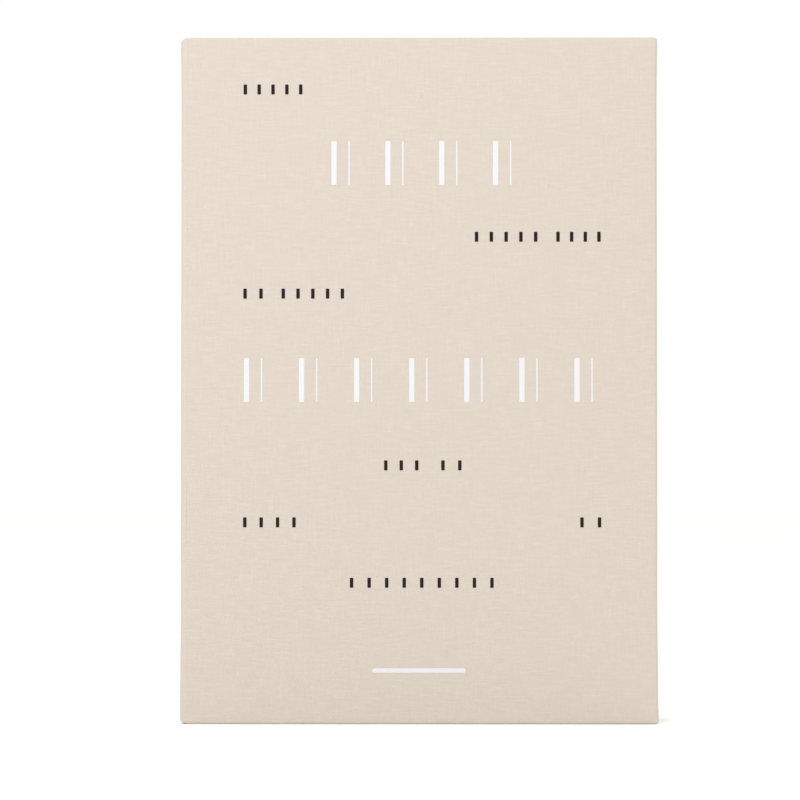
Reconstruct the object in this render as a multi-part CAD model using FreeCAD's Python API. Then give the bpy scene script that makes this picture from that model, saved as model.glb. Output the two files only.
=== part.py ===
"""Fire blanket in a book-style box: a cloth-covered case, and in it a tray that holds the folded blanket.

Millimetres. X runs from the spine to the fore edge, Y from the front cover to the back cover, and Z up.
The box stands on its tail edge, with the origin under the middle of it.
"""
import FreeCAD
import Part
import os

# ---- Driving dimensions ----
case_width = 210.0
case_height = 302.0
case_depth = 40.0

cover_board = 2.5        # greyboard of the front, spine and back panels
wall_board = 2.0         # greyboard of the tray
cloth = 0.4              # linen book cloth
paper = 0.25             # lining and wrapping paper
stay_tape = 0.2          # gummed paper at the tray's corners
foil = 0.06              # blocking foil and ink on the front cover
square = 3.0             # how far the covers stand past the tray at head, tail and fore edge
turn_in = 15.0           # cloth folded in over the edges of a board
edge_radius = 1.2        # outside radius of the cloth where it folds over a board
spine_radius = 2.8       # outside radius of the cloth at the head and tail of the spine
joint_radius = 3.0       # outside radius of the cloth where it turns a spine corner
hinge_inset = 0.7        # how far inside the front spine corner's two faces the cover's turning axis lies
joint_gap = 1.0          # how far the layers inside the front joint stop short of it
board_gap = 0.1          # between the spine board and the joint's own layers
rim_gap = 0.3            # between the tray's rim and the closed cover

magnet_length = 20.0
magnet_width = 6.0
magnet_thickness = 2.0
magnet_slack = 0.1

blanket_width = 184.0    # the folded pack
blanket_height = 282.0
panel_stack = 5.0        # ten layers of glass cloth, one fold of the pack
full_panels = 4          # folds that run the pack's whole height
flap_height = 88.0       # the fifth fold, which hangs over the front
blanket_slack = 0.3      # between the pack and the tray's lining

tape_width = 25.0
tape_thickness = 2.4     # a doubled loop of webbing
tape_spacing = 120.0     # between the middles of the two grips
tape_bottom = 62.0       # height of the loops' lower ends
tape_sewn = 26.0         # length of webbing sewn to the flap

stay_leg = 10.0          # how far a corner stay reaches along each wall
margin = 1.0             # how far a cutting block runs past what it cuts
far = 1000.0             # beyond everything

# ---- Planes worked out from them ----
left = -case_width / 2
right = case_width / 2
front = -case_depth / 2
back = case_depth / 2
top = case_height

joint_x = left + joint_radius            # where the flat panels of the covers begin
joint_front = front + joint_radius       # where the flat panel of the spine begins
joint_back = back - joint_radius
hinge_axis = (left + hinge_inset, front + hinge_inset)

front_board_inner = front + cloth + cover_board
back_board_inner = back - cloth - cover_board
spine_board_inner = left + cloth + cover_board
front_inner = front_board_inner + cloth  # over the turned-in cloth or the filler card
back_inner = back_board_inner - cloth
spine_inner = spine_board_inner + cloth
lining_face = front_inner + paper        # inside face of the closed cover

tray_left = spine_inner
tray_right = right - square
tray_foot = square
tray_head = top - square
tray_rim = lining_face + rim_gap
tray_back = back_inner

wrap_and_stay = paper + stay_tape
wall_left = tray_left + wrap_and_stay
wall_right = tray_right - wrap_and_stay
wall_foot = tray_foot + wrap_and_stay
wall_head = tray_head - wrap_and_stay
wall_rim = tray_rim + paper
base_back = tray_back - paper
base_front = base_back - wall_board

hollow_left = wall_left + wall_board
rail_right = wall_right - wall_board     # the magnet rail lies between two fore-edge walls
rail_left = rail_right - wall_board
rail_middle = (rail_left + rail_right) / 2
hollow_right = rail_left - wall_board
hollow_foot = wall_foot + wall_board
hollow_head = wall_head - wall_board
lining_left = hollow_left + paper
lining_right = hollow_right - paper
lining_foot = hollow_foot + paper
lining_head = hollow_head - paper
floor_face = base_front - paper
magnet_heights = (case_height / 4, 3 * case_height / 4)

pack_left = (lining_left + lining_right - blanket_width) / 2
pack_right = pack_left + blanket_width
pack_foot = lining_foot + blanket_slack
pack_head = pack_foot + blanket_height
pack_back = floor_face - blanket_slack
pack_front = pack_back - full_panels * panel_stack
flap_front = pack_front - panel_stack
flap_foot = pack_head - flap_height
tape_middles = [(pack_left + pack_right + side * tape_spacing) / 2 for side in (-1, 1)]

# ---- Marks on the front cover: rows of plain upright strokes ----
# A stroke or rule is its width, its height and the radius of its corners.
small_stroke = (1.5, 4.4, 0.3)
thick_stroke = (2.4, 19.4, 0.4)
thin_stroke = (0.7, 19.4, 0.2)
foot_rule = (41.0, 2.0, 0.9)
thin_offset = 6.6                        # from a thick stroke to the thin one beside it
# Each group of strokes: how many, the first one's X, the pitch, and the height of their middles.
black_groups = [
    (5, -76.4, 6.1, 279.0),
    (5, 25.4, 6.5, 214.0),
    (4, 61.2, 6.0, 214.0),
    (2, -76.4, 7.0, 189.0),
    (5, -59.6, 6.5, 189.0),
    (3, -14.5, 6.8, 113.5),
    (2, 10.6, 7.4, 113.5),
    (4, -76.4, 7.2, 88.5),
    (2, 71.6, 7.7, 88.5),
    (9, -29.5, 7.7, 62.0),
]
white_groups = [
    (4, -37.3, 23.7, 246.5),
    (7, -75.7, 24.2, 151.0),
]
foot_rule_middle = (0.0, 23.6)


# ---- Small helpers ----
def block(x0, x1, y0, y1, z0, z1):
    """A box between two planes on each axis."""
    return Part.makeBox(x1 - x0, y1 - y0, z1 - z0, FreeCAD.Vector(x0, y0, z0))


def clip(shape, x0=-far, x1=far, y0=-far, y1=far):
    """The part of a shape between some upright planes."""
    return shape.common(block(x0, x1, y0, y1, -far, far))


def rounded(shape, radius, chosen=lambda edge: True):
    """The shape with its edges filleted, or only the chosen ones."""
    return shape.makeFillet(radius, [edge for edge in shape.Edges if chosen(edge)])


def runs_along_y(edge):
    """Whether an edge runs along Y."""
    return abs(edge.tangentAt(edge.FirstParameter).y) > 0.99


def stands_at(edge, x):
    """Whether an edge starts on the plane across X at x."""
    return abs(edge.firstVertex().X - x) < 0.001


def panel(x0, x1, y0, y1, window):
    """(board, cloth) of a panel. The cloth is turned in round the window, a block that it leaves bare."""
    skin = rounded(block(x0, x1, y0, y1, 0, top), edge_radius)
    bare = block(x0 + cloth, x1 - cloth, y0 + cloth, y1 - cloth, cloth, top - cloth)
    board = rounded(bare, edge_radius - cloth)
    return board, skin.cut(board).cut(window)


def turned_in(x0, x1, y0, y1):
    """A block that stops short of the head and the tail by the width of the turn-ins."""
    return block(x0, x1, y0, y1, turn_in, top - turn_in)


# ---- Case: three boards in one cloth ----
def front_cover():
    """The front board with pockets for its magnets, the cloth over it, its filler card and its lining."""
    past_joint = joint_x - joint_radius - edge_radius
    card_right = right - cloth - turn_in
    window = turned_in(past_joint, card_right, front_board_inner, front_inner + margin)
    board, skin = panel(past_joint, right, front, front_inner, window)
    board = clip(board, x0=joint_x)
    for z in magnet_heights:
        board = board.cut(cover_magnet(z, magnet_slack))
    at_joint = block(joint_x, joint_x + joint_gap, front_board_inner, front_inner, 0, top)
    inset = square + cloth
    return {
        "front_board": board,
        "front_cover_cloth": clip(skin, x0=joint_x).cut(at_joint),
        "front_filler_card": turned_in(joint_x + joint_gap, card_right, front_board_inner, front_inner),
        "front_lining": block(
            joint_x + joint_gap, right - inset, front_inner, lining_face, inset, top - inset
        ),
    }


def back_cover():
    """The back board, the cloth over it and round its spine corner, and its filler card."""
    past_joint = joint_x - joint_radius - edge_radius
    card_right = right - cloth - turn_in
    window = turned_in(past_joint, card_right, back_inner - margin, back_board_inner)
    board, skin = panel(past_joint, right, back_inner, back, window)
    corner = joint_cloth(joint_back).common(block(left, joint_x, joint_back, back, 0, top))
    return {
        "back_board": clip(board, x0=joint_x),
        "back_cover_cloth": clip(skin, x0=joint_x).fuse(corner).removeSplitter(),
        "back_filler_card": turned_in(spine_inner, card_right, back_inner, back_board_inner),
    }


def softened(x0, x1, z0, z1, radius):
    """A plate on edge along the spine, its outer arrises at the head and tail rounded by the radius."""
    plate = rounded(
        block(x0, x1, front, back, z0, z1), radius, lambda edge: runs_along_y(edge) and stands_at(edge, x0)
    )
    left_over = (x1 - x0 - radius) / 2
    return rounded(plate, left_over, lambda edge: runs_along_y(edge) and stands_at(edge, x1))


def spine():
    """The spine board, the cloth over it and its filler card."""
    inside_front = joint_front + joint_gap
    window = turned_in(spine_board_inner, spine_inner + margin, -far, far)
    board = softened(left + cloth, spine_board_inner, cloth, top - cloth, spine_radius - cloth)
    skin = softened(left, spine_inner, 0, top, spine_radius).cut(board).cut(window)
    at_joint = block(spine_board_inner, spine_inner, joint_front, inside_front, 0, top)
    at_back = block(spine_board_inner, spine_inner, back_inner, joint_back, 0, top)
    return {
        "spine_board": clip(board, y0=joint_front + board_gap, y1=joint_back),
        "spine_cloth": clip(skin, y0=joint_front, y1=joint_back).cut(at_joint).cut(at_back),
        "spine_filler_card": turned_in(spine_board_inner, spine_inner, inside_front, back_inner),
    }


def joint_cloth(y):
    """Cloth round an upright post of the joint's radius, of which a spine corner keeps one quarter."""
    post = Part.makeCylinder(joint_radius, top, FreeCAD.Vector(joint_x, y, 0))
    inside = Part.makeCylinder(joint_radius - cloth, top - 2 * cloth, FreeCAD.Vector(joint_x, y, cloth))
    return rounded(post, spine_radius, is_round).cut(rounded(inside, spine_radius - cloth, is_round))


def is_round(edge):
    """Whether an edge is a circle."""
    return isinstance(edge.Curve, Part.Circle)


def hinge():
    """The cloth and the lining that bend at the front joint."""
    corner = block(left, joint_x, front, joint_front, 0, top)
    inner = joint_radius - cloth
    foot = FreeCAD.Vector(joint_x, joint_front, spine_radius)
    length = top - 2 * spine_radius
    tube = Part.makeCylinder(inner, length, foot).cut(Part.makeCylinder(inner - paper, length, foot))
    return {
        "hinge_cloth": joint_cloth(joint_front).common(corner),
        "hinge_lining": tube.common(corner),
    }


# ---- Magnets ----
def cover_magnet(z, slack=0.0):
    """A magnet lying flat in the front board, over the rail, or its pocket."""
    across = magnet_width / 2 + slack
    along = magnet_length / 2 + slack
    deep = front_board_inner - magnet_thickness - slack
    return block(rail_middle - across, rail_middle + across, deep, front_board_inner, z - along, z + along)


def tray_magnet(z, slack=0.0):
    """A magnet on edge in the rail, flush with its rim, or its notch."""
    along = magnet_length / 2 + slack
    deep = wall_rim + magnet_width + slack
    return block(rail_left, rail_right, wall_rim, deep, z - along, z + along)


def magnets():
    """Two magnets in the cover and two in the tray."""
    return {
        "cover_magnets": Part.makeCompound([cover_magnet(z) for z in magnet_heights]),
        "tray_magnets": Part.makeCompound([tray_magnet(z) for z in magnet_heights]),
    }


# ---- Tray ----
def tray_boards():
    """The base and the walls, with the magnet rail between the two fore-edge walls."""
    depth = (wall_rim, base_front)
    height = (hollow_foot, hollow_head)
    rail = block(rail_left, rail_right, *depth, *height)
    for z in magnet_heights:
        rail = rail.cut(tray_magnet(z, magnet_slack))
    return {
        "tray_base": block(wall_left, wall_right, base_front, base_back, wall_foot, wall_head),
        "tray_tail_wall": block(wall_left, wall_right, *depth, wall_foot, hollow_foot),
        "tray_head_wall": block(wall_left, wall_right, *depth, hollow_head, wall_head),
        "tray_spine_wall": block(wall_left, hollow_left, *depth, *height),
        "tray_fore_edge_wall": block(rail_right, wall_right, *depth, *height),
        "tray_magnet_rail": rail,
        "tray_inner_wall": block(hollow_right, rail_left, *depth, *height),
    }


def taped_walls():
    """The outside of the tray's boards with the thickness of the corner stays added all round."""
    return block(
        wall_left - stay_tape,
        wall_right + stay_tape,
        wall_rim,
        base_back,
        wall_foot - stay_tape,
        wall_head + stay_tape,
    )


def corner_stays():
    """Four angles of paper tape, one round each corner of the walls."""
    walls = block(wall_left, wall_right, wall_rim, base_back, wall_foot, wall_head)
    sleeve = taped_walls().cut(walls)
    corners = [(x, z) for x in (wall_left, wall_right) for z in (wall_foot, wall_head)]
    return [
        sleeve.common(block(x - stay_leg, x + stay_leg, front, back, z - stay_leg, z + stay_leg))
        for x, z in corners
    ]


def tray_papers():
    """The paper round the walls and down their insides, the floor's lining and the corner stays."""
    outside = block(tray_left, tray_right, tray_rim, tray_back, tray_foot, tray_head)
    under = block(
        tray_left + turn_in,
        tray_right - turn_in,
        base_back,
        tray_back,
        tray_foot + turn_in,
        tray_head - turn_in,
    )
    mouth = block(lining_left, lining_right, tray_rim, base_front, lining_foot, lining_head)
    hollow = block(hollow_left, hollow_right, wall_rim, base_front, hollow_foot, hollow_head)
    wrap = outside.cut(taped_walls()).cut(under).cut(mouth).fuse(hollow.cut(mouth))
    floor = block(lining_left, lining_right, floor_face, base_front, lining_foot, lining_head)
    return {
        "tray_wrap": wrap.removeSplitter(),
        "tray_floor_lining": floor,
        "tray_corner_stays": Part.makeCompound(corner_stays()),
    }


# ---- Blanket ----
def blanket():
    """The folded pack: four full folds, with the fifth hanging over the front as a flap."""
    pack = block(pack_left, pack_right, pack_front, pack_back, pack_foot, pack_head)
    flap = block(pack_left, pack_right, flap_front, pack_front, flap_foot, pack_head)
    whole = pack.fuse(flap).removeSplitter()
    fold_radius = panel_stack / 2 - blanket_slack

    def is_outer_fold(edge):
        """Whether an edge runs across the pack and isn't at the flap's hem."""
        box = edge.BoundBox
        at_hem = box.ZMin > flap_foot - margin and box.ZMax < flap_foot + margin
        return box.XLength > blanket_width - margin and not at_hem

    return {"fire_blanket": rounded(whole, fold_radius, is_outer_fold)}


def grip(x):
    """One pull tape: sewn to the flap, dropping off its hem and hanging down the pack's front."""
    sewn_top = flap_foot + tape_sewn
    drop_foot = flap_foot - panel_stack
    thickness_down = tape_thickness / 2
    outline = [
        (flap_front, sewn_top),
        (flap_front, flap_foot),
        (pack_front, drop_foot),
        (pack_front, tape_bottom),
        (pack_front - tape_thickness, tape_bottom),
        (pack_front - tape_thickness, drop_foot - thickness_down),
        (flap_front - tape_thickness, flap_foot - thickness_down),
        (flap_front - tape_thickness, sewn_top),
    ]
    corners = [FreeCAD.Vector(x - tape_width / 2, y, z) for y, z in outline]
    side = Part.Face(Part.makePolygon(corners + corners[:1]))
    return side.extrude(FreeCAD.Vector(tape_width, 0, 0))


def grips():
    """The two pull tapes."""
    return {
        "pull_tape_left": grip(tape_middles[0]),
        "pull_tape_right": grip(tape_middles[1]),
    }


# ---- Marks ----
def mark(x, z, size):
    """One flat mark standing on the cloth."""
    width, height, radius = size
    plate = block(x - width / 2, x + width / 2, front - foil, front, z - height / 2, z + height / 2)
    return rounded(plate, radius, runs_along_y)


def strokes(groups, size, offset=0.0):
    """Every stroke of some groups."""
    return [
        mark(first + offset + i * pitch, z, size) for count, first, pitch, z in groups for i in range(count)
    ]


def marks():
    """The white foil and the black ink."""
    white = strokes(white_groups, thick_stroke) + strokes(white_groups, thin_stroke, thin_offset)
    white.append(mark(*foot_rule_middle, foot_rule))
    return {
        "white_foil_marks": Part.makeCompound(white),
        "black_ink_marks": Part.makeCompound(strokes(black_groups, small_stroke)),
    }


def save(name, shape):
    """Write one sub-part and print its size."""
    if not shape.isValid() or not all(shell.isClosed() for shell in shape.Shells):
        print("PROBLEM: not a valid closed shape:", name)
    shape.exportStep(f"parts/{name}.step")
    box = shape.BoundBox
    size = f"{box.XLength:.2f} x {box.YLength:.2f} x {box.ZLength:.2f} mm"
    print(f"{name:20s} {len(shape.Solids):2d} solids {shape.Volume / 1000:8.2f} cm3  {size}")


def main():
    """Make and write every sub-part."""
    os.makedirs("parts", exist_ok=True)
    makers = [
        front_cover, back_cover, spine, hinge, magnets, tray_boards, tray_papers, blanket, grips, marks
    ]
    for make in makers:
        for name, shape in make().items():
            save(name, shape)
    print(f"the front cover turns about the upright line X {hinge_axis[0]:.2f}, Y {hinge_axis[1]:.2f}")


main()
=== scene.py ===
"""Looks of a fire blanket in its box: linen over boards, papered tray, folded glass cloth, tapes."""

import math

import bmesh
import bpy
import numpy as np
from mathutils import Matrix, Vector


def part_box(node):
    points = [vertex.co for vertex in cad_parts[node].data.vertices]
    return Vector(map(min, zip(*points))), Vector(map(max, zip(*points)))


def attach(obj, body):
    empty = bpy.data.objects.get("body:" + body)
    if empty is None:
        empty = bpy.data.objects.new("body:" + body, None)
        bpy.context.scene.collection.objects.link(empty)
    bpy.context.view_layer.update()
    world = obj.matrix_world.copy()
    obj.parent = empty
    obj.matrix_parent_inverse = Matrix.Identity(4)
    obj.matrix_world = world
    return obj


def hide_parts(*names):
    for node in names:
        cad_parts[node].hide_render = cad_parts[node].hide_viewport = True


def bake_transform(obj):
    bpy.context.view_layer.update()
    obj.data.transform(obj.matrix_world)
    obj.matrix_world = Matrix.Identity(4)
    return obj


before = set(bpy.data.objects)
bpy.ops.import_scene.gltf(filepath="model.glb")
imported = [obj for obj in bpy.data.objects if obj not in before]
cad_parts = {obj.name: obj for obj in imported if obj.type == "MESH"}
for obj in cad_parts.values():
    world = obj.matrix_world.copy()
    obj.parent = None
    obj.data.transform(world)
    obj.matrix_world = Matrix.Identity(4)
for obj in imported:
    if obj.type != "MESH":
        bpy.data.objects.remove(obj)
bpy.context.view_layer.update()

MM = 0.001
CLOTH_UV = "cloth"        # the UV map of each point's place on the flat, uncut material, in metres


def corners(node):
    """(lowest corner, highest corner) of a CAD node as arrays."""
    low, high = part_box(node)
    return np.array(low), np.array(high)


# ---- Planes of the frame ----
cover_low, cover_high = corners("front_cover_cloth")
spine_low, spine_high = corners("spine_cloth")
wrap_low, wrap_high = corners("tray_wrap")
floor_low, floor_high = corners("tray_floor_lining")
pack_low, pack_high = corners("fire_blanket")
lining_low, lining_high = corners("front_lining")

LEFT, RIGHT = spine_low[0], cover_high[0]
FRONT = cover_low[1]
FOOT, HEAD = cover_low[2], cover_high[2]
JOINT_X = cover_low[0]                    # where the flat of the covers begins
JOINT_FRONT, JOINT_BACK = spine_low[1], spine_high[1]
JOINT_RADIUS = JOINT_X - LEFT
COVER_DEPTH = cover_high[1] - FRONT       # board and both layers of cloth

# ---- Sizes that the looks add ----
FOLD_RADIUS = 1.2 * MM                    # cloth round a cover board's edge
SPINE_RADIUS = 2.8 * MM                   # cloth over the softened ends of the spine board
CORNER_RADIUS = 1.7 * MM                  # corners of the covers, seen from the front
DOUBLED = 0.85 * MM                       # cloth and its turn-in where no board is between them
NOSE_RADIUS = 0.2 * MM                    # the fold of doubled cloth
PINCH = 0.3 * MM                          # how far the long edges draw in between head and tail
BOARD_EDGE = 1.6 * MM                     # depth over which the pinch of a long edge fades out
TURN_IN = 15 * MM                         # cloth turned over onto the inner face
LINING = 0.2 * MM                         # paper on the inside of the case
SKIM = 0.04 * MM                          # between layers that lie on each other
ARC_STEPS = 6
GRID = 3 * MM                             # spacing of points on a flat face


# ---- Meshes ----
def make_object(name, points, faces, uv=None, merge=1e-6):
    """A smooth-shaded mesh object from arrays, with points that coincide merged."""
    mesh = bpy.data.meshes.new(name)
    mesh.from_pydata([tuple(p) for p in points], [], [tuple(int(i) for i in f) for f in faces])
    if uv is not None:
        layer = mesh.uv_layers.new(name=CLOTH_UV)
        index = np.zeros(len(mesh.loops), np.int32)
        mesh.loops.foreach_get("vertex_index", index)
        layer.data.foreach_set("uv", np.asarray(uv, np.float32)[index].ravel())
    if merge:
        work = bmesh.new()
        work.from_mesh(mesh)
        bmesh.ops.remove_doubles(work, verts=work.verts, dist=merge)
        work.to_mesh(mesh)
        work.free()
    mesh.shade_smooth()
    mesh.update()
    made = bpy.data.objects.new(name, mesh)
    bpy.context.scene.collection.objects.link(made)
    return made


def grid_faces(rows, columns, first=0, flip=False, wrap=False):
    """Quads between the points of a grid that is stored row by row."""
    faces = []
    for r in range(rows - 1):
        for c in range(columns if wrap else columns - 1):
            nxt = (c + 1) % columns
            a, b = first + r * columns + c, first + (r + 1) * columns + c
            d, e = first + (r + 1) * columns + nxt, first + r * columns + nxt
            faces.append((e, d, b, a) if flip else (a, b, d, e))
    return faces


def sharpen(made, degrees=35):
    """Shade a solid smooth except across edges that turn more than this."""
    made.data.set_sharp_from_angle(angle=math.radians(degrees))
    return made


def tube_faces(length, around):
    """Faces of a closed tube: its wall, ring by ring, and its two ends."""
    last = (length - 1) * around
    ends = [tuple(range(around)), tuple(reversed(range(last, last + around)))]
    return grid_faces(length, around, wrap=True) + ends


def distances(line):
    """How far along a line of points each of them is."""
    return np.concatenate([[0], np.cumsum(np.linalg.norm(np.diff(line, axis=0), axis=1))])


def normals(line):
    """Unit vectors across a line of 2-D points, to the left of its direction."""
    along = np.gradient(line, axis=0)
    along /= np.linalg.norm(along, axis=1)[:, None]
    return np.stack([-along[:, 1], along[:, 0]], axis=1)


def steps(start, end, spacing):
    """Evenly spaced values from start to end, both included."""
    return np.linspace(start, end, max(2, int(round(abs(end - start) / spacing)) + 1))


def ripple(u, v, size, seed, waves=7):
    """A smooth random field of about -1 to 1 over a plane, its bumps about this size."""
    random = np.random.default_rng(seed)
    total = np.zeros(np.broadcast(u, v).shape)
    for _ in range(waves):
        turn, phase = random.uniform(0, math.tau, 2)
        pace = math.tau / (size * random.uniform(0.7, 1.8))
        total = total + np.sin((u * math.cos(turn) + v * math.sin(turn)) * pace + phase)
    return total / math.sqrt(waves * 2)


# ---- Linen: one cloth over the front board, the joint, the spine board and the back board ----
def edge_samples(depth, outer):
    """Round a board's edge, from its outer face to the end of the turn-in.

    For each sample, and each entry of depth (the thickness) and outer (the radius of the outer
    arris), three arrays: how far it is in from the outline, behind the outer face, along the cloth."""
    depth, outer = np.broadcast_arrays(np.asarray(depth, float), np.asarray(outer, float))
    inner = np.clip(depth - outer, NOSE_RADIUS, FOLD_RADIUS)
    lift = np.maximum(outer - depth + inner, 0)
    turned = np.arccos(lift / (outer - inner + 1e-9))
    centre = outer - (outer - inner) * np.sin(turned)
    inset, below, along = [], [], []
    for share in np.linspace(0, 1, ARC_STEPS):
        a = turned * share
        inset.append(outer * (1 - np.sin(a)))
        below.append(outer * (1 - np.cos(a)))
        along.append(outer * a)
    across = along[-1] + np.maximum(depth - outer - inner, 0)
    for share in np.linspace(0, 1, ARC_STEPS):
        a = turned + (math.pi - turned) * share
        inset.append(centre - inner * np.sin(a))
        below.append(depth - inner - inner * np.cos(a))
        along.append(across + inner * (a - turned))
    for reach in (2.4 * MM, 3.6 * MM, 8 * MM, TURN_IN):       # along the flat of the turn-in
        inset.append(np.full(depth.shape, reach))
        below.append(depth)
        along.append(along[2 * ARC_STEPS - 1] + reach - centre)
    return np.array(inset), np.array(below), np.array(along)


def board_outline(columns, depths, outer, rows):
    """The outline of a board whose left side is open: from the tail, round the fore edge, to the head.

    For each entry: the place of the face's border, the outward direction, thickness and radius."""
    quarter = np.radians(np.linspace(0, 90, ARC_STEPS + 1)[1:-1])
    last = len(columns) - 1
    entries = [(c, FOOT + outer[i], 0, -1, i) for i, c in enumerate(columns)]
    entries += [(columns[-1], rows[0], math.sin(a), -math.cos(a), last) for a in quarter]
    entries += [(columns[-1], z, 1, 0, last) for z in rows]
    entries += [(columns[-1], rows[-1], math.cos(a), math.sin(a), last) for a in quarter]
    entries += [(columns[i], HEAD - outer[i], 0, 1, i) for i in reversed(range(len(columns)))]
    entries = np.array(entries)
    which = entries[:, 4].astype(int)
    return entries[:, :2], entries[:, 2:4], depths[which], outer[which]


def board_cloth(name, columns, depths, outer, bend, cloth_at, spine=0.0, flip=False):
    """Cloth over a board's face, head, tail and fore edge, its turn-ins mitred at the two corners."""
    rows = steps(FOOT + FOLD_RADIUS, HEAD - FOLD_RADIUS, GRID)
    fore = columns[-1] + FOLD_RADIUS
    face_c, face_z = np.meshgrid(columns, rows, indexing="ij")
    face_z[:, 0] = FOOT + outer
    face_z[:, -1] = HEAD - outer
    parts = [(face_c.ravel(), face_z.ravel(), np.zeros(face_c.size))]
    flat = [np.stack([face_c.ravel(), face_z.ravel()], axis=1)]
    faces = grid_faces(len(columns), len(rows), flip=flip)
    place, outward, depth, radius = board_outline(columns, depths, outer, rows)
    inset, below, along = edge_samples(depth, radius)
    for k in range(len(inset)):
        if k < 2 * ARC_STEPS:
            c = place[:, 0] + outward[:, 0] * (radius - inset[k])
            z = place[:, 1] + outward[:, 1] * (radius - inset[k])
        else:
            c = np.minimum(place[:, 0], fore - inset[k])
            z = np.clip(place[:, 1], FOOT + inset[k], HEAD - inset[k])
        parts.append((c, z, below[k]))
        flat.append(place + outward * along[k][:, None])
    faces += grid_faces(len(inset), len(place), first=face_c.size, flip=flip)
    c, z, d = (np.concatenate([part[i] for part in parts]) for i in range(3))
    c, z, d = settle(c, z, d, columns[0], fore, spine)
    uv = np.concatenate(flat)
    uv[:, 0] = cloth_at(uv[:, 0])
    return make_object(name, bend(c, z, d), faces, uv)


def pinch(z):
    """How far the long edges are drawn in at a height: nothing at the head and tail."""
    head_reach, tail_reach = 16 * MM, 38 * MM
    at_head = np.exp(-((HEAD - z) / head_reach) ** 2)
    at_tail = np.exp(-((z - FOOT) / tail_reach) ** 2)
    return PINCH * np.clip(1 - at_head - at_tail, 0, 1)


def soften_corner(c, z, fore):
    """Moves points that lie outside the covers' rounded corners onto them."""
    for end, towards in ((FOOT, 1), (HEAD, -1)):
        across, up = c - (fore - CORNER_RADIUS), (end + towards * CORNER_RADIUS - z) * towards
        length = np.hypot(across, up)
        outside = (across > 0) & (up > 0) & (length > CORNER_RADIUS)
        share = np.where(outside, CORNER_RADIUS / np.maximum(length, 1e-9), 1.0)
        c = np.where(outside, fore - CORNER_RADIUS + across * share, c)
        z = np.where(outside, end + towards * (CORNER_RADIUS - up * share), z)
    return c, z


def settle(c, z, d, open_side, fore, spine):
    """The small ways in which a covered board isn't a perfect plate: soft corners, fore edges drawn
    in and thicker at the mitres, a sagging face, and a ridge beside the joint.

    spine is the length of the spine where the cloth has one."""
    c, z = soften_corner(c, z, fore)
    pull = 60 * MM                        # how far in from the fore edge the cloth is moved
    near_fore = np.clip((c - (fore - pull)) / pull, 0, 1) ** 2
    tail_mitre = 0.30 * MM * np.exp(-((z - FOOT) / (5 * MM)) ** 2)
    head_mitre = 0.05 * MM * np.exp(-((HEAD - z) / (4 * MM)) ** 2)
    c = c + near_fore * (tail_mitre + head_mitre - pinch(z))
    on_face = d < 0.5 * MM
    sag = 0.025 * MM * (1 + ripple(c, z, 34 * MM, seed=5))
    d = d + np.clip(sag, 0, 0.06 * MM) * on_face
    if spine:
        outside = np.clip(1 - d / BOARD_EDGE, 0, 1)
        near_spine = np.clip(1 - (c - spine) / (JOINT_RADIUS * math.pi / 2), 0, 1)
        d = d + pinch(z) * near_spine * outside
    ridge = np.exp(-((c - open_side - 0.9 * MM) / (0.5 * MM)) ** 2)
    return c, z, d - 0.05 * MM * ridge * on_face


def linen_on_front_cover():
    """Rides with the front cover, from the fore edge to the joint."""
    start = JOINT_X - SKIM
    columns = [start, start + SKIM / 2, *steps(start + 0.4 * MM, RIGHT - FOLD_RADIUS, GRID)]
    depths = np.full(len(columns), COVER_DEPTH)
    depths[0] = DOUBLED
    outer = np.full(len(columns), FOLD_RADIUS)

    def bend(c, z, d):
        return np.stack([c, FRONT + d, z], axis=1)

    return board_cloth("linen_front_cover", columns, depths, outer, bend, lambda c: c)


def linen_on_spine_and_back():
    """Rides with the case: the spine, its back corner and the back cover, as one run of cloth."""
    spine_length = JOINT_BACK - JOINT_FRONT
    turn_length = JOINT_RADIUS * math.pi / 2
    back_start = spine_length + turn_length
    full_length = back_start + RIGHT - JOINT_X
    spine_part = [-SKIM, -SKIM / 2, *steps(0.4 * MM, spine_length - SKIM, GRID)]
    turn_part = steps(spine_length, back_start, turn_length / 10)
    back_part = [back_start + SKIM, *steps(back_start + 0.4 * MM, full_length - FOLD_RADIUS, GRID)]
    columns = np.concatenate([spine_part, turn_part, back_part])
    depths = np.full(len(columns), COVER_DEPTH)
    depths[0] = DOUBLED
    depths[len(spine_part):len(spine_part) + len(turn_part)] = DOUBLED
    outer = np.interp(columns, [spine_length, back_start], [SPINE_RADIUS, FOLD_RADIUS])

    def bend(c, z, d):
        turn = np.clip((c - spine_length) / JOINT_RADIUS, 0, math.pi / 2)
        radius = JOINT_RADIUS - d
        x = JOINT_X - radius * np.cos(turn) + np.maximum(c - back_start, 0)
        y = np.minimum(JOINT_FRONT + c, JOINT_BACK) + radius * np.sin(turn)
        return np.stack([x, y, z], axis=1)

    def cloth_at(c):
        return JOINT_X - turn_length - c

    return board_cloth(
        "linen_spine_and_back", columns, depths, outer, bend, cloth_at, spine=spine_length, flip=True
    )


def blend_joint(piece):
    """Bakes the piece's place into its points."""
    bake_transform(piece)


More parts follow.
